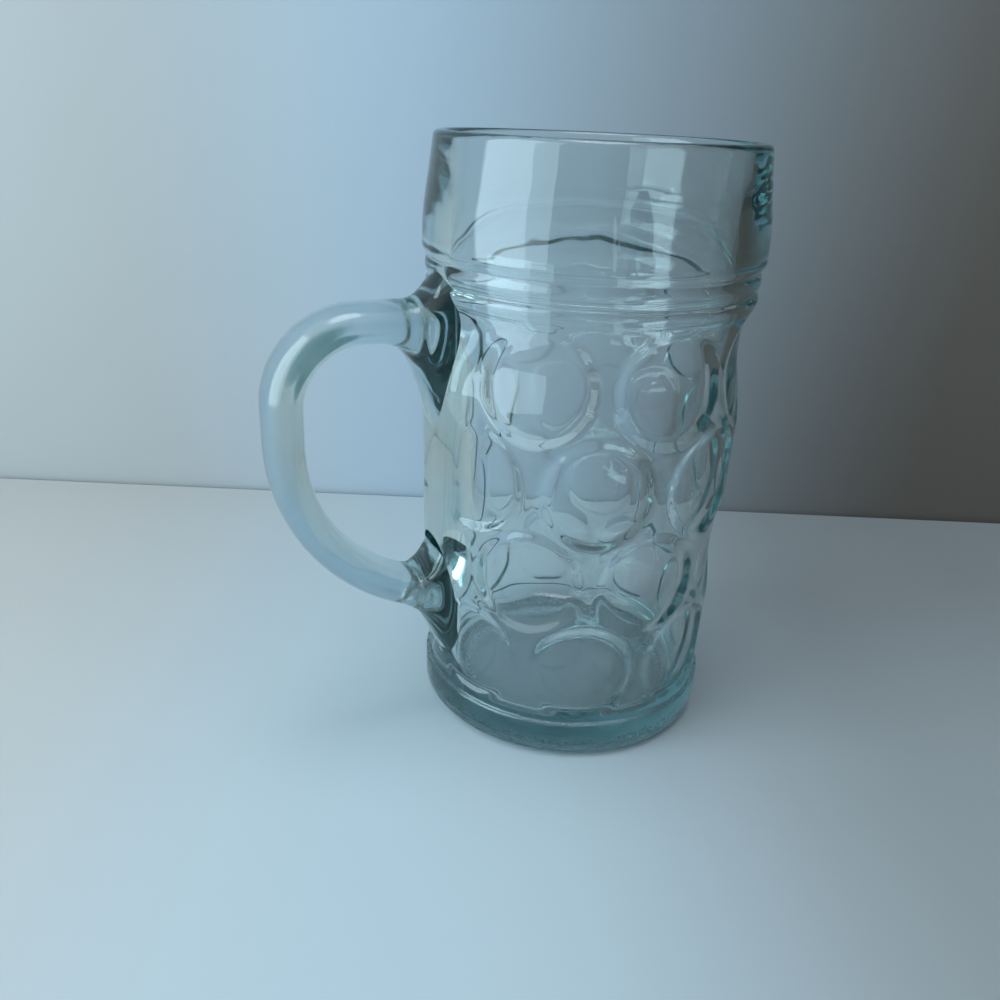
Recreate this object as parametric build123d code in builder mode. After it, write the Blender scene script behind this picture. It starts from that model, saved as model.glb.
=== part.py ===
# One-litre dimpled beer mug of clear glass: a pressed bowl and a handle fused to its side.
# Millimetres, +Z up. The origin is on the bowl's axis, in the plane that the mug stands on.
# The handle points along -X.
import math
import os

from build123d import *

# Overall sizes
MUG_HEIGHT = 200.0
BODY_RADIUS = 53.0
HANDLE_REACH = 51.0

# Foot and floor
FOOT_HEIGHT = 13.0
FOOT_STEP_HEIGHT = 2.5
HEEL_RADIUS = 5.0
BEARING_WIDTH = 8.0
PUSH_UP_HEIGHT = 3.0
FLOOR_THICKNESS = 7.5
FLOOR_CORNER_RADIUS = 7.0

# Side wall, measured from the body radius
WALL = 7.5
WAIST_INSET = 1.4
BELLY_SWELL = 1.0
NECK_INSET = 0.5
BELLY_BELOW_NECK = 26.0

# Ring of two beads, shoulder and smooth drinking band
NECK_HEIGHT = 9.0
BEAD_COUNT = 2
BEAD_HEIGHT = 6.2
BEAD_SWELL = 0.6
RING_SWELL = 0.5
RING_STEP = 0.6
SHOULDER_HEIGHT = 7.7
BAND_HEIGHT = 30.0
BAND_SWELL = 2.9
RIM_INSET = 0.2
RIM_WALL = 4.2
SHOULDER_WALL = 9.0
LIP_SHARE = 0.46

# Dimples in staggered rows
DIMPLE_ROWS = 4
DIMPLES_PER_ROW = 8
DIMPLE_DEPTH = 3.2
RIB_WIDTH = 1.9
DIMPLE_ZONE_MARGIN = 2.0
DRUM_OVERRUN = 1.6

# Raised spine on the wall between the handle's two welds
SPINE_WIDTH = 13.0
SPINE_PROUD = 3.0
SPINE_EDGE_RADIUS = 2.0

# Handle
GRIP_WIDTH = 20.0
GRIP_OUTER_REACH = 6.7
GRIP_INNER_REACH = 5.4
CORNER_RADIUS = 24.0
BACK_STRAIGHT = 11.0
UPPER_ARM_BELOW_RING = 4.8
LOWER_ARM_ABOVE_FOOT = 34.5
WELD_LENGTH = 20.0
WELD_SINK = 6.5
WELD_SIDE_FLARE = 6.0
UPPER_INNER_FLARE = 54.0
UPPER_OUTER_FLARE = 29.0
LOWER_INNER_FLARE = 41.0
LOWER_OUTER_FLARE = 30.0
WELD_SECTIONS = 6
SOFT_FILLET_POWER = 2
TIGHT_FILLET_POWER = 3

# The handle points along -X; cutting forms stand this far proud of the glass
HANDLE_AZIMUTH = 180.0
CUT_MARGIN = 5.0

# Heights, worked out from the foot up and from the rim down
foot_top_z = FOOT_HEIGHT + FOOT_STEP_HEIGHT
floor_z = PUSH_UP_HEIGHT + FLOOR_THICKNESS
band_bottom_z = MUG_HEIGHT - BAND_HEIGHT
ring_top_z = band_bottom_z - SHOULDER_HEIGHT
ring_bottom_z = ring_top_z - BEAD_COUNT * BEAD_HEIGHT
neck_z = ring_bottom_z - NECK_HEIGHT
belly_z = neck_z - BELLY_BELOW_NECK
upper_arm_z = ring_bottom_z - UPPER_ARM_BELOW_RING
lower_arm_z = foot_top_z + LOWER_ARM_ABOVE_FOOT

# Radii of the outside
bearing_radius = BODY_RADIUS - HEEL_RADIUS
push_up_radius = bearing_radius - BEARING_WIDTH
push_up_dome_radius = (push_up_radius**2 + PUSH_UP_HEIGHT**2) / (2 * PUSH_UP_HEIGHT)
waist_radius = BODY_RADIUS - WAIST_INSET
belly_radius = BODY_RADIUS + BELLY_SWELL
neck_radius = BODY_RADIUS - NECK_INSET
ring_radius = BODY_RADIUS + RING_SWELL
ring_top_radius = ring_radius + BEAD_COUNT * RING_STEP
band_radius = BODY_RADIUS + BAND_SWELL
rim_radius = BODY_RADIUS - RIM_INSET

# Rows of dimples between the foot and the ring
dimple_zone_bottom = foot_top_z + DIMPLE_ZONE_MARGIN
dimple_zone_top = ring_bottom_z - DIMPLE_ZONE_MARGIN
row_pitch = (dimple_zone_top - dimple_zone_bottom) / DIMPLE_ROWS
around_pitch = 2 * math.pi * BODY_RADIUS / DIMPLES_PER_ROW
step_angle = 360.0 / DIMPLES_PER_ROW
dimple_radius = (math.hypot(around_pitch / 2, row_pitch) - RIB_WIDTH) / 2

# A drum lying along the wall's tangent cuts a round dimple: its radius gives the depth at that outline
drum_radius = (dimple_radius**2 + DIMPLE_DEPTH**2) / (2 * DIMPLE_DEPTH)
drum_length = 2 * DRUM_OVERRUN * dimple_radius


def wall_radius(z):
    """Outside radius of the plain side wall at height z, straight between waist, belly and neck."""
    if z < belly_z:
        share = (z - foot_top_z) / (belly_z - foot_top_z)
        return waist_radius + share * (belly_radius - waist_radius)
    share = (z - belly_z) / (neck_z - belly_z)
    return belly_radius + share * (neck_radius - belly_radius)


def cut_dimples():
    """Cut every row of dimples into the open part with drums."""
    for row in range(DIMPLE_ROWS):
        z = dimple_zone_top - (row + 0.5) * row_pitch
        drum_axis = wall_radius(z) - DIMPLE_DEPTH + drum_radius
        in_line_with_handle = row % 2 == 0
        # The places behind the handle's two welds stay plain
        first = step_angle if in_line_with_handle else step_angle / 2
        count = DIMPLES_PER_ROW - 1 if in_line_with_handle else DIMPLES_PER_ROW
        with Locations((0, 0, z)):
            with PolarLocations(drum_axis, count, HANDLE_AZIMUTH + first, count * step_angle):
                Cylinder(drum_radius, drum_length, rotation=(90, 0, 0), mode=Mode.SUBTRACT)


# Spine: a flat strip that stands proud of the wall behind the handle
spine_front = BODY_RADIUS + SPINE_PROUD
with BuildPart() as spine:
    with Locations((-spine_front + WALL / 2, 0, (lower_arm_z + upper_arm_z) / 2)):
        Box(WALL, SPINE_WIDTH, upper_arm_z - lower_arm_z)
    front_edges = spine.edges().filter_by(Axis.Z).sort_by(Axis.X)[:2]
    fillet(front_edges, SPINE_EDGE_RADIUS)

# Outside form: everything within the mug's outer surface, dimpled below the ring
with BuildPart() as outside_form:
    with BuildSketch(Plane.XZ):
        with BuildLine():
            Line((0, ring_bottom_z), (0, PUSH_UP_HEIGHT))
            RadiusArc((0, PUSH_UP_HEIGHT), (push_up_radius, 0), push_up_dome_radius)
            Line((push_up_radius, 0), (bearing_radius, 0))
            RadiusArc((bearing_radius, 0), (BODY_RADIUS, HEEL_RADIUS), -HEEL_RADIUS)
            Line((BODY_RADIUS, HEEL_RADIUS), (BODY_RADIUS, FOOT_HEIGHT))
            Line((BODY_RADIUS, FOOT_HEIGHT), (waist_radius, foot_top_z))
            wall_side = Line((waist_radius, foot_top_z), (belly_radius, belly_z))
            TangentArc((belly_radius, belly_z), (neck_radius, neck_z), tangent=wall_side % 1)
            Line((neck_radius, neck_z), (ring_radius, ring_bottom_z))
            Line((ring_radius, ring_bottom_z), (0, ring_bottom_z))
        make_face()
    revolve(axis=Axis.Z)
    cut_dimples()
    add(spine.part)
    with BuildSketch(Plane.XZ):
        with BuildLine():
            Line((0, MUG_HEIGHT), (0, ring_bottom_z))
            Line((0, ring_bottom_z), (ring_radius, ring_bottom_z))
            for bead in range(BEAD_COUNT):
                low = (ring_radius + bead * RING_STEP, ring_bottom_z + bead * BEAD_HEIGHT)
                high = (low[0] + RING_STEP, low[1] + BEAD_HEIGHT)
                crest = ((low[0] + high[0]) / 2 + BEAD_SWELL, (low[1] + high[1]) / 2)
                ThreePointArc(low, crest, high)
            Spline(
                (ring_top_radius, ring_top_z),
                (band_radius, band_bottom_z),
                (rim_radius, MUG_HEIGHT),
            )
            Line((rim_radius, MUG_HEIGHT), (0, MUG_HEIGHT))
        make_face()
    revolve(axis=Axis.Z)

# Inside form: the drinking space, smooth as the plunger that presses it
with BuildPart() as inside_form:
    with BuildSketch(Plane.XZ):
        with BuildLine():
            corner_z = floor_z + FLOOR_CORNER_RADIUS
            corner_radius = wall_radius(corner_z) - WALL
            mouth_z = MUG_HEIGHT + CUT_MARGIN
            Line((0, mouth_z), (0, floor_z))
            Line((0, floor_z), (corner_radius - FLOOR_CORNER_RADIUS, floor_z))
            RadiusArc(
                (corner_radius - FLOOR_CORNER_RADIUS, floor_z),
                (corner_radius, corner_z),
                -FLOOR_CORNER_RADIUS,
            )
            inner_side = Line((corner_radius, corner_z), (belly_radius - WALL, belly_z))
            Spline(
                (belly_radius - WALL, belly_z),
                (band_radius - SHOULDER_WALL, band_bottom_z),
                (rim_radius - RIM_WALL, MUG_HEIGHT),
                tangents=(inner_side % 1, (rim_radius - RIM_WALL - band_radius + SHOULDER_WALL, BAND_HEIGHT)),
            )
            Line((rim_radius - RIM_WALL, MUG_HEIGHT), (rim_radius - RIM_WALL, mouth_z))
            Line((rim_radius - RIM_WALL, mouth_z), (0, mouth_z))
        make_face()
    revolve(axis=Axis.Z)

# Bowl: the outside form without the drinking space, with a rounded lip
with BuildPart() as glass_body:
    add(outside_form.part)
    add(inside_form.part, mode=Mode.SUBTRACT)
    rim_edges = glass_body.edges().filter_by(GeomType.CIRCLE).group_by(Axis.Z)[-1]
    fillet(rim_edges, LIP_SHARE * RIM_WALL)

# Centre line of the handle, in distance from the axis and height
upper_wall = neck_radius
lower_wall = wall_radius(lower_arm_z)
back_distance = BODY_RADIUS + HANDLE_REACH
corner_distance = back_distance - CORNER_RADIUS
corner_end_z = upper_arm_z - CORNER_RADIUS
sweep_top_z = corner_end_z - BACK_STRAIGHT
# The lower sweep starts upright at the back and reaches the wall at the lower arm's height
sweep_reach = back_distance - lower_wall
sweep_drop = sweep_top_z - lower_arm_z
sweep_radius = (sweep_reach**2 + sweep_drop**2) / (2 * sweep_reach)


def upper_place(clearance):
    """Distance, height and heading of the upper arm and its corner where they are this far from the wall."""
    distance = upper_wall + clearance
    turn = math.asin(max(0, distance - corner_distance) / CORNER_RADIUS)
    return distance, corner_end_z + CORNER_RADIUS * math.cos(turn), math.degrees(turn)


def lower_place(clearance):
    """Distance, height and heading of the lower sweep where it is this far from the wall."""
    distance = lower_wall + clearance
    turn = math.acos(1 - (back_distance - distance) / sweep_radius)
    return distance, sweep_top_z - sweep_radius * math.sin(turn), 90 + math.degrees(turn)


def section_plane(distance, height, heading):
    """Plane across the handle at a point of its centre line; heading is in degrees below outwards."""
    turn = math.radians(heading)
    return Plane(
        origin=(-distance, 0, height),
        x_dir=(0, 1, 0),
        z_dir=(-math.cos(turn), 0, -math.sin(turn)),
    )


def grip_section(plane, inner_growth=0.0, outer_growth=0.0, side_growth=0.0):
    """Egg-shaped section, fuller outside than on the finger side, grown by these three lengths."""
    half_width = GRIP_WIDTH / 2 + side_growth
    with BuildSketch(plane) as section:
        with BuildLine():
            EllipticalCenterArc((0, 0), half_width, GRIP_INNER_REACH + inner_growth, 0, arc_size=180)
            EllipticalCenterArc((0, 0), half_width, GRIP_OUTER_REACH + outer_growth, 180, arc_size=180)
        make_face()
    return section.sketch


def weld_root(place, inner_flare, inner_power, outer_flare):
    """Sections of a weld's root, from the one buried in the wall to the plain grip."""
    sections = []
    for step in range(WELD_SECTIONS):
        share = 1 - step / (WELD_SECTIONS - 1)
        clearance = WELD_LENGTH - share * (WELD_LENGTH + WELD_SINK)
        sections.append(
            grip_section(
                section_plane(*place(clearance)),
                inner_flare * share**inner_power,
                outer_flare * share**TIGHT_FILLET_POWER,
                WELD_SIDE_FLARE * share**SOFT_FILLET_POWER,
            )
        )
    return sections


# Handle: a plain grip swept along the centre line, two flared roots, cut back to the bowl's outer surface
grip_start = upper_place(WELD_LENGTH)
grip_end = lower_place(WELD_LENGTH)
with BuildPart() as handle:
    with BuildLine(Plane.XZ) as centre_line:
        if grip_start[0] < corner_distance:
            Line((-grip_start[0], grip_start[1]), (-corner_distance, upper_arm_z))
        corner_start = (-max(grip_start[0], corner_distance), grip_start[1])
        RadiusArc(corner_start, (-back_distance, corner_end_z), -CORNER_RADIUS)
        Line((-back_distance, corner_end_z), (-back_distance, sweep_top_z))
        RadiusArc((-back_distance, sweep_top_z), (-grip_end[0], grip_end[1]), -sweep_radius)
    sweep(grip_section(section_plane(*grip_start)), centre_line.line)
    loft(weld_root(upper_place, UPPER_INNER_FLARE, SOFT_FILLET_POWER, UPPER_OUTER_FLARE))
    loft(weld_root(lower_place, LOWER_INNER_FLARE, TIGHT_FILLET_POWER, LOWER_OUTER_FLARE))
    add(outside_form.part, mode=Mode.SUBTRACT)

os.makedirs("parts", exist_ok=True)
glass_body.part.label = "glass_body"
export_step(glass_body.part, "parts/glass_body.step")
handle.part.label = "handle"
export_step(handle.part, "parts/handle.step")

cavity = (inside_form.part.volume - math.pi * (rim_radius - RIM_WALL) ** 2 * CUT_MARGIN) / 1e6
glass = (glass_body.part.volume + handle.part.volume) / 1e3
print(f"dimple radius {dimple_radius:.2f}, drum radius {drum_radius:.1f}, row pitch {row_pitch:.2f}")
print(f"handle sweep radius {sweep_radius:.1f}, cavity {cavity:.3f} l, glass {glass:.0f} cm3")
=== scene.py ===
# %% [markdown]
# # A dimpled beer mug in clear glass
#
# The real mug is pressed in a mould from one heavy gob of glass: a foot, four staggered rows of round
# dimples, a ring of two beads and a smooth band to drink from. A handle is fused to its side at two
# welds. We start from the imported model, which fixes every size and place, and rebuild the two pieces
# as finer surfaces, because glass shows each small change of curve by bending what is behind it.

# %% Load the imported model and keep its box
import math

import bpy
import numpy as np
from mathutils import Matrix, Vector


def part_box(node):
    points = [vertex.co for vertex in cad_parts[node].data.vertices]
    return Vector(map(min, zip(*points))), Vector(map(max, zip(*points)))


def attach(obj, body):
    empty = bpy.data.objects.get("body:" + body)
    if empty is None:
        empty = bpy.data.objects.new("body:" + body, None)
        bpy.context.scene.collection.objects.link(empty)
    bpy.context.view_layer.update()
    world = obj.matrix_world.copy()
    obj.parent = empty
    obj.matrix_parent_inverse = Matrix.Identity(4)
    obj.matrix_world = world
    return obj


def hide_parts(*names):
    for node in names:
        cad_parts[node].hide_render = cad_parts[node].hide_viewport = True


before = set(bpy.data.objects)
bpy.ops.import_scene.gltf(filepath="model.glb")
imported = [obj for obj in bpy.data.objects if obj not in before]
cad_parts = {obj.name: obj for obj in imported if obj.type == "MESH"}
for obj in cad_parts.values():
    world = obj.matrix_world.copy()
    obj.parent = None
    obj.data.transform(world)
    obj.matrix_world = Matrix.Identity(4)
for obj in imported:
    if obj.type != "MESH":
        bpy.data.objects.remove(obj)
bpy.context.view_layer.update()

# %% [markdown]
# ## Sizes
#
# Blender works in metres, and a mug is easier to think about in millimetres, so each size below is
# written in millimetres and multiplied once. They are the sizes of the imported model: the surfaces that
# we make have to lie where its solids are.

# %% Sizes of the bowl, in metres
MM = 0.001
MUG_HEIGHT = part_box("glass_body")[1].z
BODY_RADIUS = 53 * MM
FOOT_HEIGHT = 13 * MM
FOOT_STEP_HEIGHT = 2.5 * MM
HEEL_RADIUS = 5 * MM
BEARING_WIDTH = 8 * MM
PUSH_UP_HEIGHT = 3 * MM
FLOOR_THICKNESS = 7.5 * MM
FLOOR_CORNER_RADIUS = 7 * MM
WALL = 7.5 * MM
SHOULDER_WALL = 9 * MM
RIM_WALL = 4.2 * MM
BAND_HEIGHT = 30 * MM
SHOULDER_HEIGHT = 7.7 * MM
BEAD_HEIGHT = 6.2 * MM
NECK_HEIGHT = 9 * MM
BELLY_BELOW_NECK = 26 * MM

foot_top_z = FOOT_HEIGHT + FOOT_STEP_HEIGHT
floor_z = PUSH_UP_HEIGHT + FLOOR_THICKNESS
band_bottom_z = MUG_HEIGHT - BAND_HEIGHT
ring_top_z = band_bottom_z - SHOULDER_HEIGHT
ring_bottom_z = ring_top_z - 2 * BEAD_HEIGHT
neck_z = ring_bottom_z - NECK_HEIGHT
belly_z = neck_z - BELLY_BELOW_NECK
print(f"ring from {ring_bottom_z:.4f} to {ring_top_z:.4f} m, band from {band_bottom_z:.4f} m")

# %% How far each height stands in or out from the body's radius
WAIST_INSET = 1.4 * MM
BELLY_SWELL = 1 * MM
NECK_INSET = 0.5 * MM
RING_SWELL = 0.25 * MM
BAND_SWELL = 2.9 * MM
RIM_INSET = 0.2 * MM

waist_radius = BODY_RADIUS - WAIST_INSET
belly_radius = BODY_RADIUS + BELLY_SWELL
neck_radius = BODY_RADIUS - NECK_INSET
ring_radius = BODY_RADIUS + RING_SWELL
band_radius = BODY_RADIUS + BAND_SWELL
rim_radius = BODY_RADIUS - RIM_INSET
print(f"waist {waist_radius:.4f}, belly {belly_radius:.4f}, band {band_radius:.4f}, rim {rim_radius:.4f} m")

# %% [markdown]
# ## The dimples
#
# Each dimple is a round dish: a narrow steep edge and a nearly flat floor. The edge bends light over a
# wide angle, which draws it as a bright and a dark line, and the floor lets us look through. Dishes could
# be cut out with booleans, but those leave uneven faces, and glass would show each one. So the depth is
# a formula of the distance from the dimple's middle: a ramp across the edge and a shallow parabola on
# the floor. Hot glass rounds every corner, so the ramp's two ends are rounded too. The inside stays
# smooth, because the plunger that presses it has to be drawn out again.

# %% Dimple sizes and the rounded ramp
DIMPLE_ROWS = 4
DIMPLES_PER_ROW = 8
DISH_RADIUS = 18.5 * MM
DISH_FLOOR_RADIUS = 15.7 * MM
EDGE_DEPTH = 1.4 * MM
FLOOR_SAG = 0.4 * MM
DIMPLE_MARGIN = 2 * MM
FOOT_FADE = 3 * MM
CORNER_SHARE = 0.45
HANDLE_ANGLE = math.pi

dimple_zone_bottom = foot_top_z + DIMPLE_MARGIN
dimple_zone_top = ring_bottom_z - DIMPLE_MARGIN
row_pitch = (dimple_zone_top - dimple_zone_bottom) / DIMPLE_ROWS
step_angle = 2 * math.pi / DIMPLES_PER_ROW


def rounded_ramp(t):
    """0 below 0, t between and 1 above 1, with both corners rounded by parabolas CORNER_SHARE wide."""
    low = np.clip(CORNER_SHARE - np.abs(t), 0, None) ** 2 / (4 * CORNER_SHARE)
    high = np.clip(CORNER_SHARE - np.abs(t - 1), 0, None) ** 2 / (4 * CORNER_SHARE)
    return np.clip(t, 0, 1) + low - high


print(f"rows {1000 * row_pitch:.1f} mm apart, {DIMPLES_PER_ROW} places in each")

# %% Depth of the dishes at any angle and height


def side_wall_radius(z):
    """Radius of the plain side wall at height z: straight lines from waist to belly and on to the neck."""
    return np.interp(z, [foot_top_z, belly_z, neck_z], [waist_radius, belly_radius, neck_radius])


def dimple_places(angle, z):
    """For each row: the angle and the height off the nearest dimple's middle, and the row's wall radius.

    Every second row is turned by half a step. In the rows in line with the handle, the place behind
    the handle stays plain, so there the angle is set far off.
    """
    for row in range(DIMPLE_ROWS):
        row_z = dimple_zone_top - (row + 0.5) * row_pitch
        in_line = row % 2 == 0
        from_handle = angle - HANDLE_ANGLE - (0 if in_line else step_angle / 2)
        off_middle = (from_handle + step_angle / 2) % step_angle - step_angle / 2
        if in_line:
            from_weld = np.abs((from_handle + math.pi) % (2 * math.pi) - math.pi)
            off_middle = np.where(from_weld < step_angle / 2, step_angle, off_middle)
        yield off_middle, z - row_z, float(side_wall_radius(row_z))


def dish_depth(angle, z):
    """Depth of the dishes under the plain wall: the ramp over the edge plus the floor's parabola."""
    depth = 0
    for off_middle, dz, wall in dimple_places(angle, z):
        from_middle = np.hypot(wall * off_middle, dz)
        edge = rounded_ramp((DISH_RADIUS - from_middle) / (DISH_RADIUS - DISH_FLOOR_RADIUS))
        floor = np.clip(1 - (from_middle / DISH_FLOOR_RADIUS) ** 2, 0, 1)
        depth = np.maximum(depth, EDGE_DEPTH * edge + FLOOR_SAG * floor)
    return depth * rounded_ramp((z - foot_top_z) / FOOT_FADE)


top_row_depth = float(dish_depth(0.0, dimple_zone_top - row_pitch / 2))
print(f"a dish in the top row is {1000 * top_row_depth:.1f} mm deep")

# %% [markdown]
# ## The spine behind the handle
#
# Between the two welds the wall is left plain and stands a little proud, as a broad ridge that carries
# the handle's roots. It could be a strip of its own, but it is one with the wall, so it is a second form
# of the same surface: the radius passes from the dished wall to the ridge by the same rounded ramp.

# %% Spine and the whole outer surface
SPINE_HEIGHT = 2.6 * MM
SPINE_HALF_ANGLE = math.radians(10)
SPINE_SIDE_ANGLE = math.radians(13)
SPINE_END = 14 * MM
UPPER_ARM_BELOW_RING = 4.8 * MM
LOWER_ARM_ABOVE_FOOT = 34.5 * MM
upper_arm_z = ring_bottom_z - UPPER_ARM_BELOW_RING
lower_arm_z = foot_top_z + LOWER_ARM_ABOVE_FOOT


def outer_radius(plain, angle, z):
    """Radius of the outer surface: the plain one less the dishes, mixed with the raised spine."""
    dished = plain - dish_depth(angle, z)
    off_middle = np.abs((angle - HANDLE_ANGLE + math.pi) % (2 * math.pi) - math.pi)
    side = rounded_ramp((SPINE_HALF_ANGLE + SPINE_SIDE_ANGLE - off_middle) / SPINE_SIDE_ANGLE)
    ends = np.minimum(z - lower_arm_z, upper_arm_z - z)
    share = side * rounded_ramp(ends / SPINE_END)
    return dished + share * (plain + SPINE_HEIGHT - dished)


print(f"spine from {lower_arm_z:.4f} to {upper_arm_z:.4f} m")

# %% [markdown]
# ## The bowl as one grid
#
# Most of the bowl is a profile turned round the axis: only the dimples, the spine and the stipple under
# the foot vary with the angle. A Screw modifier could turn it, but then nothing could vary. So we walk
# once along the profile, from the middle of the underside out over the foot, up the outside, over the
# lip and down the inside to the middle of the floor, and turn that line round ourselves. Each stretch of
# the line is a straight, an arc or a curve with as many points as its bend needs.

# %% Stretches of a profile


def straight(start, end, count):
    """Points evenly spaced from start to end, without the end itself."""
    share = np.linspace(0, 1, count, endpoint=False)[:, None]
    return (1 - share) * np.array(start) + share * np.array(end)


def arc(centre, radius, start, end, count):
    """Points on a circle from angle start to angle end in degrees, without the end itself."""
    turn = np.radians(np.linspace(start, end, count, endpoint=False))
    return np.array(centre) + radius * np.column_stack([np.cos(turn), np.sin(turn)])


def bow(start, end, swell, count):
    """A flat arch from start to end, without the end: a parabola that swells outwards in the middle."""
    share = np.linspace(0, 1, count, endpoint=False)[:, None]
    lift = 4 * share * (1 - share) * np.array([[swell, 0.0]])
    return (1 - share) * np.array(start) + share * np.array(end) + lift


print("a quarter circle in three points, without its end:", arc((0, 0), 1, 0, 90, 3).round(2).tolist())

# %% Smooth curve through points


def through(points, count):
    """A smooth curve through the points, without the last.

    Each point's slope comes from its neighbours. Between two points the curve is the cubic that has
    their places and slopes at its ends.
    """
    points = np.array(points)
    at = np.concatenate([[0], np.cumsum(np.hypot(*np.diff(points, axis=0).T))])
    slope = np.gradient(points, at, axis=0)
    walked = np.linspace(0, at[-1], count, endpoint=False)
    k = np.clip(np.searchsorted(at, walked, side="right") - 1, 0, len(at) - 2)
    span = (at[k + 1] - at[k])[:, None]
    t = (walked - at[k])[:, None] / span
    rise = (2 * t + 1) * (t - 1) ** 2 * points[k] + t**2 * (3 - 2 * t) * points[k + 1]
    return rise + span * (t * (t - 1) ** 2 * slope[k] + t**2 * (t - 1) * slope[k + 1])


def beside(radius, z, steps):
    """Points beside a place on the profile, by steps in millimetres outwards and upwards."""
    return [(radius + out * MM, z + up * MM) for out, up in steps]


print("a curve through three points:", through([(0, 0), (1, 1), (2, 0)], 4).round(2).tolist())

# %% Foot and side wall
STEP_ROUNDING = 0.25 * MM
STEP_SHARES = (0.28, 0.56)
BELLY_ROUNDING = 6 * MM
BELLY_EASE = 0.1 * MM
NECK_CURVE = [(0.3, -3)]

bearing_radius = BODY_RADIUS - HEEL_RADIUS
push_up_radius = bearing_radius - BEARING_WIDTH
push_up_curve = (push_up_radius**2 + PUSH_UP_HEIGHT**2) / (2 * PUSH_UP_HEIGHT)
push_up_turn = math.degrees(math.asin(push_up_radius / push_up_curve))
belly_start = (belly_radius - BELLY_EASE, belly_z - BELLY_ROUNDING)

foot_and_wall = np.vstack([
    arc((0, PUSH_UP_HEIGHT - push_up_curve), push_up_curve, 90, 90 - push_up_turn, 10)[1:],
    straight((push_up_radius, 0), (bearing_radius, 0), 4),
    arc((bearing_radius, HEEL_RADIUS), HEEL_RADIUS, -90, 0, 8),
    straight((BODY_RADIUS, HEEL_RADIUS), (BODY_RADIUS, FOOT_HEIGHT), 3),
    through([
        (BODY_RADIUS, FOOT_HEIGHT),
        (BODY_RADIUS - STEP_ROUNDING, FOOT_HEIGHT + STEP_SHARES[0] * FOOT_STEP_HEIGHT),
        (waist_radius + STEP_ROUNDING, FOOT_HEIGHT + STEP_SHARES[1] * FOOT_STEP_HEIGHT),
        (waist_radius, foot_top_z),
    ], 8),
    straight((waist_radius, foot_top_z), belly_start, 116),
    through([
        belly_start,
        (belly_radius, belly_z + BELLY_ROUNDING),
        (neck_radius, neck_z),
        *beside(neck_radius, ring_bottom_z, NECK_CURVE),
        (ring_radius, ring_bottom_z),
    ], 36),
])
print("foot and side wall:", len(foot_and_wall), "points")

# %% [markdown]
# ## Ring, shoulder and lip
#
# The first bead is full at its top and drops back steeply there. Looking down at its far side, we meet
# that drop at a slant, and the light turns down into the wall, so it draws the dark line across the
# band. The second bead is a plain arch. Then the wall flares out to the band, which leans in to the lip.

# %% Beads, shoulder and band
FIRST_BEAD = [(0.9, 2), (1.45, 4.2), (1.35, 5.1)]
BEAD_STEP = 0.6 * MM
BEAD_SWELL = 0.85 * MM
SHOULDER_HOLLOW = [(-0.2, 0.6), (0.5, 1.3)]
SHOULDER_ROUND = [(-0.3, 2.4)]
BAND_ROUNDING = 2 * MM
BAND_CURVE = [(-0.2, 5)]
RIM_CURVE = [(1.1, -11)]

bead_joint = (ring_radius + 0.5 * BEAD_STEP, ring_bottom_z + BEAD_HEIGHT)
bead_top_radius = ring_radius + 2 * BEAD_STEP
band_start = (band_radius, band_bottom_z - BAND_ROUNDING)
lip_radius = RIM_WALL / 2
lip_centre = (rim_radius - lip_radius, MUG_HEIGHT - lip_radius)

outside_profile = np.vstack([
    foot_and_wall,
    through([
        (ring_radius, ring_bottom_z),
        *beside(ring_radius, ring_bottom_z, FIRST_BEAD),
        bead_joint,
    ], 14),
    bow(bead_joint, (bead_top_radius, ring_top_z), BEAD_SWELL, 9),
    through([
        (bead_top_radius, ring_top_z),
        *beside(bead_top_radius, ring_top_z, SHOULDER_HOLLOW),
        *beside(band_radius, ring_top_z, SHOULDER_ROUND),
        band_start,
    ], 12),
    through([
        band_start,
        *beside(band_radius, band_bottom_z, BAND_CURVE),
        *beside(rim_radius, MUG_HEIGHT, RIM_CURVE),
        (rim_radius, MUG_HEIGHT - lip_radius),
    ], 12),
    arc(lip_centre, lip_radius, 0, 90, 6),
])
print("outside profile:", len(outside_profile), "points")

# %% Walk on down the inside
corner_z = floor_z + FLOOR_CORNER_RADIUS
corner_radius = float(side_wall_radius(corner_z)) - WALL
inside_profile = np.vstack([
    arc(lip_centre, lip_radius, 90, 180, 7),
    through([
        (rim_radius - RIM_WALL, MUG_HEIGHT - lip_radius),
        (band_radius - SHOULDER_WALL, band_bottom_z),
        (belly_radius - WALL, belly_z),
        (corner_radius, corner_z),
    ], 40),
    arc((corner_radius - FLOOR_CORNER_RADIUS, corner_z), FLOOR_CORNER_RADIUS, 0, -90, 12),
    straight((corner_radius - FLOOR_CORNER_RADIUS, floor_z), (0, floor_z), 6),
])
print("inside profile:", len(inside_profile), "points")

# %% [markdown]
# ## From a grid to a mesh
#
# A grid of points needs only its index arithmetic to become faces: each point is joined to its right
# and upper neighbours, and the last column to the first. The two ends of the profile lie on the axis,
# so each gets one point of its own and a fan of triangles, which closes the surface.

# %% Mesh from rings of points


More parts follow.
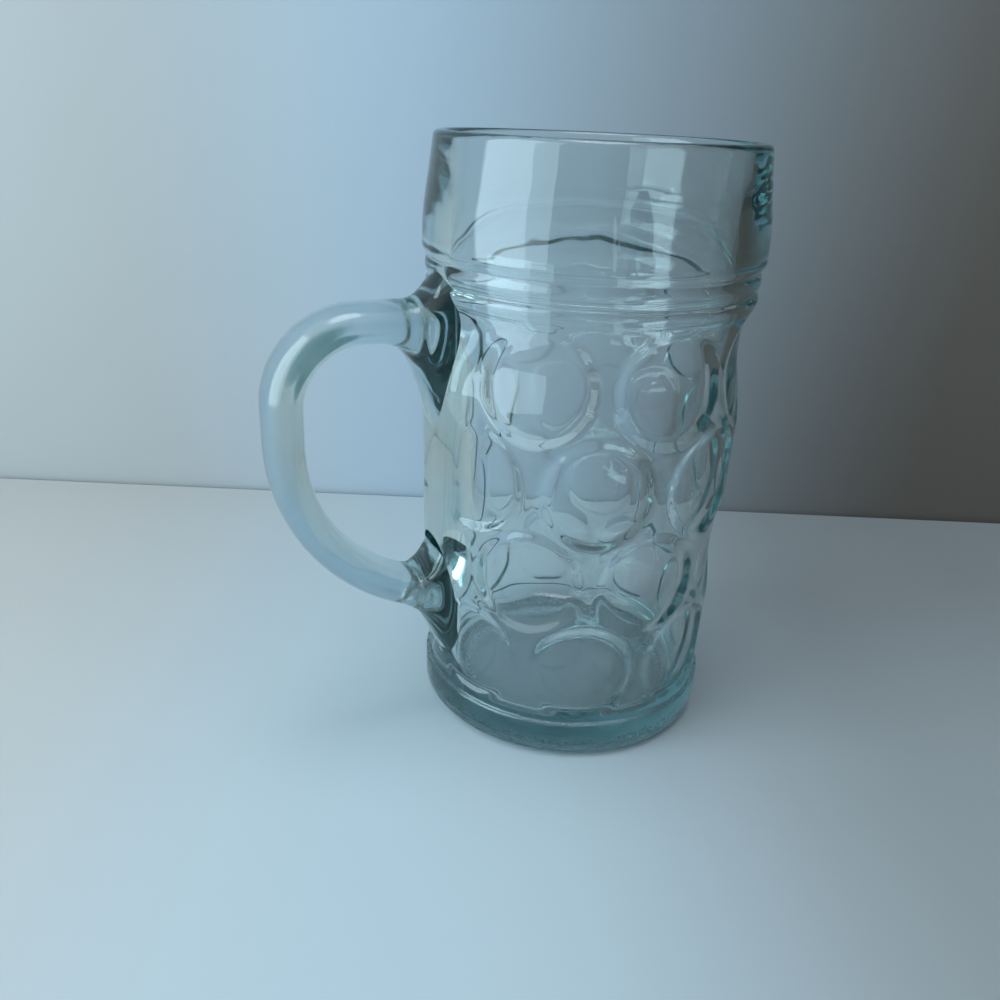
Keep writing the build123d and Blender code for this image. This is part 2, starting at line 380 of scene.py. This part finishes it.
def closed_tube(name, rings, first_tip, last_tip):
    """Mesh of rings (ring, place, xyz) that close on themselves, with a fan to a tip at each end.

    Point p of ring r has the number r * places + p. A quad joins p and p + 1 of ring r to those of
    ring r + 1, and each fan joins p and p + 1 of an end ring to its tip.
    """
    count, places = rings.shape[:2]
    points = np.vstack([rings.reshape(-1, 3), first_tip, last_tip])
    here = np.arange(count * places).reshape(count, places)
    beyond = np.roll(here, -1, axis=1)
    quads = np.stack([here[:-1], beyond[:-1], beyond[1:], here[1:]], axis=-1).reshape(-1, 4)
    tip = count * places
    first = np.stack([beyond[0], here[0], np.full(places, tip)], axis=-1)
    last = np.stack([here[-1], beyond[-1], np.full(places, tip + 1)], axis=-1)
    mesh = bpy.data.meshes.new(name)
    mesh.from_pydata(points, [], quads.tolist() + first.tolist() + last.tolist())
    mesh.polygons.foreach_set("use_smooth", np.ones(len(mesh.polygons), bool))
    mesh.update()
    return mesh


def piece_from(name, mesh, node):
    """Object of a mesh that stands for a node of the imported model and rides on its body."""
    piece = bpy.data.objects.new(name, mesh)
    bpy.context.scene.collection.objects.link(piece)
    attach(piece, "root")
    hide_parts(node)
    return piece


def enclosed_volume(mesh):
    """Volume inside a closed mesh: the sum of signed tetrahedra, positive if faces point outwards."""
    mesh.calc_loop_triangles()
    corner = np.empty(3 * len(mesh.loop_triangles), np.int32)
    mesh.loop_triangles.foreach_get("vertices", corner)
    at = np.empty(3 * len(mesh.vertices), np.float32)
    mesh.vertices.foreach_get("co", at)
    a, b, c = (at.reshape(-1, 3)[corner.reshape(-1, 3)[:, k]] for k in range(3))
    return float(np.einsum("ij,ij->i", a, np.cross(b, c)).sum() / 6)


# %% [markdown]
# ## Stipple under the foot
#
# A machine-made mug stands on a ring of small raised dashes, which keep the bearing ring from being
# scratched and from sticking to a wet bar. They are a few tenths of a millimetre high, and where the
# foot bends light they show as a dotted line. They could be a bump in the material, but real dashes
# touch the table, so they are in the mesh: the surface is lifted a little between them.

# %% Turn the bowl's profile round the axis
AROUND = 320
STIPPLE_COUNT = 72
STIPPLE_HEIGHT = 0.35 * MM
STIPPLE_OUT = 1.5 * MM
STIPPLE_WIDTH = 1.6 * MM
STIPPLE_TOP = 2.5 * MM

angle = np.linspace(0, 2 * math.pi, AROUND, endpoint=False)[None, :]


def turned(radius, z):
    """Points (profile, angle, xyz) of a line turned round the axis: radius may vary with the angle."""
    return np.stack([radius * np.cos(angle), radius * np.sin(angle), z + 0 * angle], axis=-1)


def with_stipple(points):
    """Points lifted between the dashes: a clipped cosine round the foot, times a bell across the dashes.

    The lift fades out with height, so that it ends below the side of the foot.
    """
    radius = np.hypot(points[..., 0], points[..., 1])
    bell = np.exp(-(((radius - bearing_radius - STIPPLE_OUT) / STIPPLE_WIDTH) ** 2))
    low = np.clip(1 - points[..., 2] / STIPPLE_TOP, 0, 1)
    dash = np.clip(np.cos(STIPPLE_COUNT * angle), 0, None)
    lifted = points.copy()
    lifted[..., 2] += STIPPLE_HEIGHT * bell * low * (1 - dash)
    return lifted


plain, outer_z = outside_profile[:, :1], outside_profile[:, 1:]
bowl_rings = np.concatenate([
    with_stipple(turned(outer_radius(plain, angle, outer_z), outer_z)),
    turned(inside_profile[:, :1] + 0 * angle, inside_profile[:, 1:]),
])
bowl_mesh = closed_tube("glass_bowl", bowl_rings, (0, 0, PUSH_UP_HEIGHT), (0, 0, floor_z))
bowl = piece_from("glass_bowl", bowl_mesh, "glass_body")
bowl_volume = enclosed_volume(bowl_mesh)
print(f"bowl: {1e6 * bowl_volume:.0f} cm3 of glass, {len(bowl_mesh.loop_triangles)} triangles")

# %% [markdown]
# ## The handle's line
#
# The handle leaves the wall level under the ring, turns down through a corner, runs straight past the
# knuckles and comes back in one wide sweep. A curve object with a bevel could follow that line, but it
# only scales its section, and at the welds ours changes its form. So a place on the line is three numbers:
# a distance from the mug's axis, a height, and a heading, measured downwards from straight out.

# %% Sizes of the handle, in metres
GRIP_HALF_WIDTH = 10 * MM
GRIP_OUTER_REACH = 6.7 * MM
GRIP_INNER_REACH = 5.4 * MM
HANDLE_REACH = 51 * MM
CORNER_RADIUS = 24 * MM
BACK_STRAIGHT = 11 * MM
WELD_LENGTH = 26 * MM
WELD_SINK = 6.5 * MM
UPRIGHT_FROM = 16 * MM

upper_wall = neck_radius
lower_wall = float(side_wall_radius(lower_arm_z))
back_distance = BODY_RADIUS + HANDLE_REACH
corner_distance = back_distance - CORNER_RADIUS
corner_end_z = upper_arm_z - CORNER_RADIUS
sweep_top_z = corner_end_z - BACK_STRAIGHT
sweep_reach = back_distance - lower_wall
sweep_radius = (sweep_reach**2 + (sweep_top_z - lower_arm_z) ** 2) / (2 * sweep_reach)
sweep_centre = back_distance - sweep_radius


def upper_place(clearance):
    """Distance, height and heading of the level arm where it is this far from the wall."""
    return upper_wall + clearance, upper_arm_z + 0 * clearance, 0 * clearance


def lower_place(clearance):
    """Distance, height and heading of the sweep where it is this far from the wall: a place on a circle.

    Near the wall the heading turns level, so that the weld's fillets run along the wall.
    """
    distance = lower_wall + clearance
    turn = np.arccos((distance - sweep_centre) / sweep_radius)
    upright = np.clip(1 - clearance / UPRIGHT_FROM, 0, 1) ** 2
    heading = math.pi / 2 + turn + upright * (math.pi / 2 - turn)
    return distance, sweep_top_z - sweep_radius * np.sin(turn), heading


print(f"handle: back at {back_distance:.4f} m, sweep radius {sweep_radius:.4f} m")

# %% [markdown]
# ## The handle's section
#
# Cut across, the grip is a rounded D: nearly flat where the fingers go, full on the outside. A
# superellipse gives both halves, |u/a|^n + |v/b|^n = 1, with a larger n where the side is flatter. At
# each weld soft glass has run out along the wall. Such a fillet grows by the same factor with each step
# towards the wall, so it is an exponential, held under a largest width. At the seam between grip and weld
# the root is suddenly wider than the grip.

# %% Section and weld fillets
FINGER_FLATNESS = 0.66
ROOT_STEP = 1.4 * MM
ROOT_STEP_FROM = 11 * MM
ROOT_STEP_LENGTH = 2 * MM
# Each fillet is a size, the clearance at which it has that size, a decay length and a largest width.
SIDE_FILLET = (2 * MM, -2 * MM, 2 * MM, 3.3 * MM)
UPPER_FILLETS = {
    "inner": (62 * MM, 3.5 * MM, 3.8 * MM, 60 * MM),
    "outer": (12 * MM, 4.6 * MM, 1.9 * MM, 10.5 * MM),
}
LOWER_FILLETS = {
    "inner": (60 * MM, 2.6 * MM, 2.2 * MM, 22 * MM),
    "outer": (40 * MM, 0.6 * MM, 2.4 * MM, 25 * MM),
}


def fillet(clearance, size, at, decay, limit):
    """Width of a fillet this far from the wall, from g = size * exp((at - clearance) / decay).

    The width is 1 / (1 / g + 1 / limit), which stays under the limit, and it fades out at the root's end.
    """
    grown = 1 / (np.exp((clearance - at) / decay) / size + 1 / limit)
    return grown * (1 - np.clip(clearance / WELD_LENGTH, 0, 1) ** 6) ** 2


def weld_section(clearance, fillets):
    """Half width, inner reach, outer reach and flatness of the section this far from the wall."""
    share = np.clip((WELD_LENGTH - clearance) / (WELD_LENGTH + WELD_SINK), 0, 1)
    step = ROOT_STEP * rounded_ramp((ROOT_STEP_FROM - clearance) / ROOT_STEP_LENGTH)
    half_width = GRIP_HALF_WIDTH + step + fillet(clearance, *SIDE_FILLET)
    inner = GRIP_INNER_REACH + fillet(clearance, *fillets["inner"])
    outer = GRIP_OUTER_REACH + fillet(clearance, *fillets["outer"])
    return half_width, inner, outer, FINGER_FLATNESS + (1 - FINGER_FLATNESS) * share


print(f"upper root: {1000 * weld_section(0.0, UPPER_FILLETS)[1]:.0f} mm below its line at the wall")

# %% Points round the section


def section_points(place, section, around):
    """Points round the handle at a place: u across it and v towards the fingers, on the superellipse."""
    distance, height, heading = place
    half_width, inner, outer, flatness = section
    c, s = np.cos(around), np.sin(around)
    power = np.where(s > 0, flatness, 1.0)
    u = half_width * np.sign(c) * np.abs(c) ** power
    v = np.where(s > 0, inner, outer) * np.sign(s) * np.abs(s) ** power
    x, z = -distance + v * np.sin(heading), height - v * np.cos(heading)
    return np.stack(np.broadcast_arrays(x, u, z), axis=-1)


ROUND_GRIP = 96
around_grip = np.linspace(0, 2 * math.pi, ROUND_GRIP, endpoint=False)
print("points round the grip:", ROUND_GRIP)

# %% [markdown]
# ## Trimming the welds to the wall
#
# The roots have to end just under the bowl's surface, dimples and spine included. A boolean could cut
# them, but it would leave a ragged edge. For each point round the section we look instead for the
# clearance at which it is half a millimetre deep in the wall, by halving an interval until it is found,
# and let the root's rings run from there.

# %% Depth in the bowl and the trimmed root
ROOT_RINGS = 46
HALVINGS = 40
SEARCH_SHARE = 0.9
BURIED_DEPTH = 0.5 * MM
CLIMB_FROM = 0.5 * MM
outer_height = outside_profile[:, 1]
climbing = outer_height > CLIMB_FROM


def bowl_surface_radius(points_angle, z):
    """Radius of the bowl's outer surface at an angle and a height: the profile read by height, dimpled."""
    plain = np.interp(z, outer_height[climbing], outside_profile[climbing, 0])
    return outer_radius(plain, points_angle, z)


def depth_in_bowl(points):
    """How far points lie under the bowl's outer surface, measured along the radius; negative outside."""
    surface = bowl_surface_radius(np.arctan2(points[..., 1], points[..., 0]), points[..., 2])
    return surface - np.hypot(points[..., 0], points[..., 1])


def trimmed_root(place, fillets):
    """Rings of a weld's root, from just under the wall's surface out to the plain grip."""
    low = np.full(ROUND_GRIP, -WELD_SINK)
    high = np.full(ROUND_GRIP, SEARCH_SHARE * WELD_LENGTH)
    for _ in range(HALVINGS):
        middle = (low + high) / 2
        at = section_points(place(middle), weld_section(middle, fillets), around_grip)
        deep = depth_in_bowl(at) > BURIED_DEPTH
        low, high = np.where(deep, middle, low), np.where(deep, high, middle)
    share = np.linspace(0, 1, ROOT_RINGS)[:, None]
    clearance = (1 - share) * low + share * WELD_LENGTH
    return section_points(place(clearance), weld_section(clearance, fillets), around_grip)


upper_root = trimmed_root(upper_place, UPPER_FILLETS)
lower_root = trimmed_root(lower_place, LOWER_FILLETS)
print("rings in each root:", len(upper_root), len(lower_root))

# %% Close each root inside the wall
CAP_RINGS = 14


def weld_cap(rim, rings):
    """Rings from a root's end ring in to its middle, all on the surface half a millimetre under the wall."""
    angles, heights = np.arctan2(rim[:, 1], -rim[:, 0]), rim[:, 2]
    tip_z = heights.mean()
    share = np.linspace(0, 1, rings + 1)[1:-1, None]
    cap_angle = HANDLE_ANGLE - (1 - share) * angles
    cap_z = (1 - share) * heights + share * tip_z
    radius = bowl_surface_radius(cap_angle, cap_z) - BURIED_DEPTH
    cap = np.stack([radius * np.cos(cap_angle), radius * np.sin(cap_angle), cap_z], axis=-1)
    return cap, (-(float(bowl_surface_radius(HANDLE_ANGLE, tip_z)) - BURIED_DEPTH), 0, tip_z)


upper_cap, upper_tip = weld_cap(upper_root[0], CAP_RINGS)
lower_cap, lower_tip = weld_cap(lower_root[0], CAP_RINGS)
print(f"welds centred at {upper_tip[2]:.4f} and {lower_tip[2]:.4f} m")

# %% [markdown]
# ## The whole handle
#
# Root, level arm, corner, straight back, sweep and the other root follow one another, and each stretch
# carries the same section. Because every ring has the same number of points, the stretches simply
# stack up, and the bowl's own mesh function closes them.

# %% Carry the section along the whole handle
LEVEL_RINGS = 5
CORNER_RINGS = 32
BACK_RINGS = 7
SWEEP_RINGS = 40


def grip_rings(distance, height, heading):
    """Rings of the plain grip at several places, given as columns."""
    plain = (GRIP_HALF_WIDTH, GRIP_INNER_REACH, GRIP_OUTER_REACH, FINGER_FLATNESS)
    return section_points((distance[:, None], height[:, None], heading[:, None]), plain, around_grip)


level_arm = np.linspace(upper_wall + WELD_LENGTH, corner_distance, LEVEL_RINGS, endpoint=False)[1:]
corner = np.linspace(0, math.pi / 2, CORNER_RINGS)
back = np.linspace(corner_end_z, sweep_top_z, BACK_RINGS)[1:-1]
sweep_end = lower_place(WELD_LENGTH)[2] - math.pi / 2
sweep = np.linspace(0, sweep_end, SWEEP_RINGS)[:-1]
corner_line = (
    corner_distance + CORNER_RADIUS * np.sin(corner),
    corner_end_z + CORNER_RADIUS * np.cos(corner),
    corner,
)
sweep_line = (
    sweep_centre + sweep_radius * np.cos(sweep),
    sweep_top_z - sweep_radius * np.sin(sweep),
    math.pi / 2 + sweep,
)
handle_rings = np.concatenate([
    upper_cap[::-1],
    upper_root,
    grip_rings(level_arm, upper_arm_z + 0 * level_arm, 0 * level_arm),
    grip_rings(*corner_line),
    grip_rings(back_distance + 0 * back, back, math.pi / 2 + 0 * back),
    grip_rings(*sweep_line),
    lower_root[::-1],
    lower_cap,
])
handle_mesh = closed_tube("glass_handle", handle_rings, upper_tip, lower_tip)
handle = piece_from("glass_handle", handle_mesh, "handle")
print(f"handle: {len(handle_rings)} rings, {1e6 * enclosed_volume(handle_mesh):.1f} cm3 of glass")

# %% [markdown]
# ## Fused glass has no skin inside
#
# Where the handle is fused on, the two pieces are one lump of glass, and light crosses from one to the
# other unbent. Each mesh is closed, so a skin of each lies buried in the other, and it would show
# as a false mirror. Joining the meshes would lose the two pieces. So we write on every point how deep it
# lies in the other piece, and the material lets light straight through wherever that is more than nothing.

# %% Depth in the handle


def depth_in_root(clearance, across, inwards, fillets):
    """Depth of points in a weld's root, from how far they are inside its superellipse; negative outside."""
    half_width, inner, outer, flatness = weld_section(clearance, fillets)
    finger_side = inwards > 0
    reach = np.where(finger_side, inner, outer)
    power = 2 / np.where(finger_side, flatness, 1.0)
    size = ((np.abs(across) / half_width) ** power + (np.abs(inwards) / reach) ** power) ** (1 / power)
    inside = (1 - size) * np.minimum(half_width, reach)
    return np.where(clearance < WELD_LENGTH, inside, -reach)


def depth_in_handle(points):
    """Depth of points in either root, by their distance from the wall and height off the centre line."""
    distance, across, height = -points[..., 0], points[..., 1], points[..., 2]
    upper = depth_in_root(distance - upper_wall, across, upper_arm_z - height, UPPER_FILLETS)
    drop = np.sqrt(np.clip(sweep_radius**2 - (distance - sweep_centre) ** 2, 0, None))
    lower = depth_in_root(distance - lower_wall, across, height - (sweep_top_z - drop), LOWER_FILLETS)
    near = (distance > 0) & (np.abs(across) < 2 * GRIP_HALF_WIDTH)
    return np.where(near, np.where(height > sweep_top_z, upper, lower), -WALL)


def write_depth(mesh, depth):
    """Store each point's depth in millimetres as the attribute "buried"; tips get the last ring's value."""
    values = np.concatenate([depth.ravel(), np.full(2, depth.ravel()[-1])]) / MM
    mesh.attributes.new("buried", "FLOAT", "POINT").data.foreach_set("value", values.astype(np.float32))


bowl_depth = depth_in_handle(bowl_rings)
bowl_depth[len(outside_profile):] = -WALL / 2
write_depth(bowl_mesh, bowl_depth)
write_depth(handle_mesh, depth_in_bowl(handle_rings))
print("buried points:", int((bowl_depth > 0).sum()), "of the bowl")

# %% [markdown]
# ## Writing shader sums as sums
#
# A material's pattern is arithmetic on its coordinates. Wiring each plus and times by hand hides that, so
# a small class wraps an output socket: +, - and * on it add Math nodes, and one method adds any other
# node with its settings and inputs.

# %% A socket that can be added and multiplied


class Socket:
    """An output socket of a node tree, on which plain arithmetic adds Math nodes."""

    def __init__(self, tree, output):
        self.tree = tree
        self.output = output

    def node(self, kind, settings=None, output=0, **inputs):
        """Add a node: its settings first, then its inputs as numbers, colours or other sockets.

        An input has its name in Blender, with _ for a space, or its number as i0, i1 and so on.
        """
        made = self.tree.nodes.new(kind)
        for key, value in (settings or {}).items():
            setattr(made, key, value)
        for key, value in inputs.items():
            numbered = key[0] == "i" and key[1:].isdigit()
            found = made.inputs[int(key[1:]) if numbered else key.replace("_", " ")]
            if isinstance(value, Socket):
                value.feed(found)
            else:
                found.default_value = value
        return Socket(self.tree, made.outputs[output])

    def feed(self, found):
        """Link this output to an input socket of the same tree."""
        self.tree.links.new(self.output, found)

    def maths(self, operation, first, second):
        """One Math node on two values, each a socket or a number."""
        return self.node("ShaderNodeMath", {"operation": operation}, i0=first, i1=second)

    def __add__(self, other):
        return self.maths("ADD", self, other)

    __radd__ = __add__

    def __sub__(self, other):
        return self.maths("SUBTRACT", self, other)

    def __rsub__(self, other):
        return self.maths("SUBTRACT", other, self)

    def __mul__(self, other):
        return self.maths("MULTIPLY", self, other)

    __rmul__ = __mul__

    def __lt__(self, other):
        return self.maths("LESS_THAN", self, other)

    def between(self, low, high):
        """0 below low, 1 above high and a smooth step between them."""
        smooth = {"interpolation_type": "SMOOTHSTEP"}
        return self.node("ShaderNodeMapRange", smooth, Value=self, From_Min=low, From_Max=high)

    def along(self, direction):
        """How far a place lies along a direction: their dot product."""
        dot = {"operation": "DOT_PRODUCT"}
        return self.node("ShaderNodeVectorMath", dot, output="Value", i0=self, i1=tuple(direction))

    def noise(self, scale, detail, roughness=0.5):
        """Smooth noise at a place, with so many waves to the metre and finer ones on top."""
        return self.node(
            "ShaderNodeTexNoise", output="Fac", Vector=self, Scale=scale, Detail=detail, Roughness=roughness
        )

    def mixed(self, share, first, second):
        """A colour between first and second, by a share from 0 to 1."""
        return self.node("ShaderNodeMix", {"data_type": "RGBA"}, output=2, i0=share, i6=first, i7=second)


def new_material(name):
    """A material, its Principled node, and a socket with the place on the object to start from."""
    material = bpy.data.materials.new(name)
    material.use_nodes = True
    tree = material.node_tree
    principled = tree.nodes["Principled BSDF"]
    return material, principled, Socket(tree, tree.nodes.new("ShaderNodeTexCoord").outputs["Object"])


# %% [markdown]
# ## Clear glass
#
# Soda-lime glass bends light by an index of about 1.52 and takes a little red out of it, which shows
# only where a ray runs a long way through: along the foot, in the welds and at the edges. So the tint is
# an absorption inside, not a colour on the skin. The surface itself isn't perfect: pressing leaves a
# slow ripple, hands leave faint smears and dull the grip, and the ring that it stands on is scuffed.

# %% The glass material
GLASS_INDEX = 1.52
GLASS_TINT = (0.12, 0.48, 0.49, 1)
GLASS_TINT_DENSITY = 20.0
RIPPLE_SCALE = 38
RIPPLE_HEIGHT = 0.35 * MM
SMEAR_SCALE = 24
SMEAR_RANGE = (0.45, 0.75)
GRAIN_SCALE = 900
SCUFF_RANGE = (0.2 * MM, 1.6 * MM)
GRIP_RANGE = (-72 * MM, -58 * MM)
POLISHED, SMEARED, GRIPPED, SCUFFED = 0.012, 0.04, 0.11, 0.5

glass, glass_surface, place = new_material("clear_glass")
glass_surface.inputs["Transmission Weight"].default_value = 1
glass_surface.inputs["IOR"].default_value = GLASS_INDEX
glass_surface.inputs["Base Color"].default_value = (1, 1, 1, 1)

smear = place.noise(SMEAR_SCALE, 5, 0.6).between(*SMEAR_RANGE)
scuff = 1 - place.node("ShaderNodeSeparateXYZ", output="Z", Vector=place).between(*SCUFF_RANGE)
grip = 1 - place.node("ShaderNodeSeparateXYZ", output="X", Vector=place).between(*GRIP_RANGE)
grain = place.noise(GRAIN_SCALE, 2)
roughness = smear * SMEARED + grip * GRIPPED + scuff * grain * SCUFFED + POLISHED
roughness.feed(glass_surface.inputs["Roughness"])

ripple = place.noise(RIPPLE_SCALE, 2, 0.45)
bump = place.node("ShaderNodeBump", Strength=1.0, Distance=RIPPLE_HEIGHT, Height=ripple)
bump.feed(glass_surface.inputs["Normal"])

buried = place.node("ShaderNodeAttribute", {"attribute_name": "buried"}, output="Fac")
outer_skin = buried < 0.0
outer_skin.feed(glass_surface.inputs["Alpha"])

tint = place.node("ShaderNodeVolumeAbsorption", Color=GLASS_TINT, Density=GLASS_TINT_DENSITY)
tint.feed(glass.node_tree.nodes["Material Output"].inputs["Volume"])

for piece in (bowl, handle):
    piece.data.materials.append(glass)
print("glass nodes:", len(glass.node_tree.nodes))

# %% [markdown]
# ## Table and backdrop
#
# Glass is drawn by what stands round it, so it stands on a pale table in front of a pale backdrop. A
# sheet that curves up from table to backdrop would put a bright stripe behind the mug, so the two meet
# at a narrow gap. Their paint holds painted shade and painted light: it darkens towards the right, for
# the shade on that side, so that one edge of the glass reads dark on pale and the other pale on dark,
# and its bluish middle is painted cool light.

# %% Table and backdrop as one bent sheet
STAGE_LEFT, STAGE_RIGHT, STAGE_FRONT = 0.75, 1.1, 1.1
BACKDROP_DISTANCE = 0.17
BACKDROP_HEIGHT = 1.1
GAP_WIDTH = 0.003
GAP_DEPTH = 0.02
CAMERA_HEADING = math.radians(64)

table_end = BACKDROP_DISTANCE - GAP_WIDTH
stage_line = np.vstack([
    straight((-STAGE_FRONT, 0), (table_end, 0), 12),
    [(table_end, 0), (table_end, -GAP_DEPTH), (BACKDROP_DISTANCE, -GAP_DEPTH)],
    straight((BACKDROP_DISTANCE, 0), (BACKDROP_DISTANCE, BACKDROP_HEIGHT), 8),
])
away = np.array([math.cos(CAMERA_HEADING), math.sin(CAMERA_HEADING), 0])
aside = np.array([away[1], -away[0], 0])
breadth = np.linspace(-STAGE_LEFT, STAGE_RIGHT, 9)
stage_section = stage_line[:, None, :1] * away + stage_line[:, None, 1:] * [0, 0, 1]
stage_points = stage_section + breadth[None, :, None] * aside
rows, columns = stage_points.shape[:2]
number = np.arange(rows * columns).reshape(rows, columns)
stage_corners = [number[:-1, :-1], number[:-1, 1:], number[1:, 1:], number[1:, :-1]]
stage_faces = np.stack(stage_corners, axis=-1).reshape(-1, 4)
stage_mesh = bpy.data.meshes.new("table_and_backdrop")
stage_mesh.from_pydata(stage_points.reshape(-1, 3), [], stage_faces.tolist())
stage_sheet = bpy.data.objects.new("table_and_backdrop", stage_mesh)
bpy.context.scene.collection.objects.link(stage_sheet)
print("table and backdrop:", len(stage_faces), "faces")

# %% Paint with painted shade and painted cool light
# Painted light: the bluish middle colours stand in for the cool light's colour, and the left colours are
# neutral.
BACKDROP_MIDDLE_PAINTED_COOL_LIGHT, BACKDROP_LEFT = (0.39, 0.48, 0.57, 1), (0.37, 0.375, 0.375, 1)
TABLE_MIDDLE_PAINTED_COOL_LIGHT, TABLE_LEFT = (0.35, 0.42, 0.46, 1), (0.37, 0.37, 0.36, 1)
# Painted shade: the dark colour that the paint fades to on the right.
PAINTED_SHADE_COLOUR = (0.12, 0.105, 0.09, 1)
LEFT_RANGE = (-0.24, -0.05)
BACKDROP_SHADE_RANGE = (-0.16, 0.26)
TABLE_SHADE_RANGE = (-0.03, 0.13)
TABLE_SHADE_SHARE = 0.55
MOTTLE_SCALE = 6
MOTTLE_SHARE = 0.06
PAINT_ROUGHNESS = 0.7

paint, paint_surface, spot = new_material("pale_table")
mottle = spot.noise(MOTTLE_SCALE, 4)
to_right = spot.along(aside)
upright = spot.along(away).between(table_end, BACKDROP_DISTANCE)
# Painted shade: the table and the backdrop darken towards the right.
table_painted_shade = TABLE_SHADE_SHARE * to_right.between(*TABLE_SHADE_RANGE) * (1 - upright)
painted_shade = to_right.between(*BACKDROP_SHADE_RANGE) * upright + table_painted_shade + MOTTLE_SHARE * mottle
to_left = 1 - to_right.between(*LEFT_RANGE)
backdrop_shade = spot.mixed(to_left, BACKDROP_MIDDLE_PAINTED_COOL_LIGHT, BACKDROP_LEFT)
table_shade = spot.mixed(to_left, TABLE_MIDDLE_PAINTED_COOL_LIGHT, TABLE_LEFT)
shade = spot.mixed(painted_shade, spot.mixed(upright, table_shade, backdrop_shade), PAINTED_SHADE_COLOUR)
shade.feed(paint_surface.inputs["Base Color"])
paint_surface.inputs["Roughness"].default_value = PAINT_ROUGHNESS
stage_mesh.materials.append(paint)
print("paint nodes:", len(paint.node_tree.nodes))

# %% [markdown]
# ## Light
#
# A tall soft panel on the handle's side gives the bright strip down the band. It is brighter over its
# far part, so the strip has two levels and a soft look. Soft light from above fills the floor of the
# mug, and dim surroundings leave the dark lines along the edges.

# %% Soft panels
PANEL_HEIGHT = 1.1


def panel(name, distance, shift, width, radiance, colour):
    """An upright soft panel on the handle's side, standing on the table's level and facing the mug.

    It is this far off along -X and moved by a shift along Y. A flat lamp of area A sends out
    power / (pi A) from each place in each direction, so its power follows from how bright it looks.
    """
    data = bpy.data.lights.new(name, "AREA")
    data.shape, data.size, data.size_y = "RECTANGLE", width, PANEL_HEIGHT
    data.energy, data.color = radiance * math.pi * width * PANEL_HEIGHT, colour
    lamp = bpy.data.objects.new(name, data)
    lamp.location = (-distance, shift, PANEL_HEIGHT / 2)
    lamp.rotation_euler = (math.pi / 2, 0, 3 * math.pi / 2)
    lamp.visible_camera = True
    bpy.context.scene.collection.objects.link(lamp)


panel("wide_panel", distance=0.8, shift=-0.12, width=0.8, radiance=2.7, colour=(0.69, 0.90, 1.0))
panel("bright_panel", distance=0.79, shift=0.0, width=0.5, radiance=2.8, colour=(0.66, 0.90, 1.0))

# %% Light from above and dim surroundings
SURROUNDING_LEVEL = 0.15
UPPER_LEVEL, UPPER_RANGE = 1.0, (0.5, 0.95)
OVERHEAD_LEVEL, OVERHEAD_RANGE = 5.5, (0.955, 0.985)
SIDE_LEVEL, SIDE_RANGE = 0.4, (-0.2, 0.9)
STUDIO_COLOUR = (0.84, 0.93, 1.0, 1)

studio = bpy.data.worlds.new("studio")
studio.use_nodes = True
background = studio.node_tree.nodes["Background"]
look = Socket(studio.node_tree, studio.node_tree.nodes.new("ShaderNodeTexCoord").outputs["Generated"])
upwards = look.node("ShaderNodeSeparateXYZ", output="Z", Vector=look)
handle_side = 0 - look.node("ShaderNodeSeparateXYZ", output="X", Vector=look)
from_above = UPPER_LEVEL * upwards.between(*UPPER_RANGE) + OVERHEAD_LEVEL * upwards.between(*OVERHEAD_RANGE)
strength = SURROUNDING_LEVEL + from_above + SIDE_LEVEL * handle_side.between(*SIDE_RANGE)
strength.feed(background.inputs["Strength"])
background.inputs["Color"].default_value = STUDIO_COLOUR
bpy.context.scene.world = studio
print("studio nodes:", len(studio.node_tree.nodes))

# %% [markdown]
# ## Camera
#
# The rim looks almost like a straight line, so the camera stands level with it, close by, tipped down
# a quarter of a right angle and turned a little on its own axis. Its place follows from how the rim's and
# foot's circles look in the picture.

# %% Camera place
FOCAL_LENGTH = 32.2
SENSOR = 36.0
CLIP_START = 0.01
CAMERA_PLACE = Vector((-0.1566, -0.2605, 0.2067))
CAMERA_PITCH = math.radians(-23.69)
CAMERA_ROLL = math.radians(2.6)

lens = bpy.data.cameras.new("camera")
lens.lens, lens.sensor_width, lens.sensor_fit = FOCAL_LENGTH, SENSOR, "HORIZONTAL"
lens.clip_start = CLIP_START
camera = bpy.data.objects.new("camera", lens)
turn_round = Matrix.Rotation(CAMERA_HEADING - math.pi / 2, 4, "Z")
tip_down = Matrix.Rotation(math.pi / 2 + CAMERA_PITCH, 4, "X")
roll = Matrix.Rotation(CAMERA_ROLL, 4, "Z")
camera.matrix_world = Matrix.Translation(CAMERA_PLACE) @ turn_round @ tip_down @ roll
bpy.context.scene.collection.objects.link(camera)
bpy.context.scene.camera = camera
print("camera at", [round(v, 4) for v in camera.matrix_world.translation])

# %% [markdown]
# ## Paths of light through thick glass
#
# A ray that crosses both walls and the handle meets a dozen surfaces, and where it runs out of bounces
# the glass turns black. So the paths may be longer than Blender's default.

# %% Bounces and view
scene = bpy.context.scene
scene.view_settings.view_transform = "Standard"
scene.cycles.use_denoising = True
scene.cycles.max_bounces = 32
scene.cycles.glossy_bounces = 20
scene.cycles.transmission_bounces = 24
scene.cycles.transparent_max_bounces = 16
print("bounces through glass:", scene.cycles.transmission_bounces)
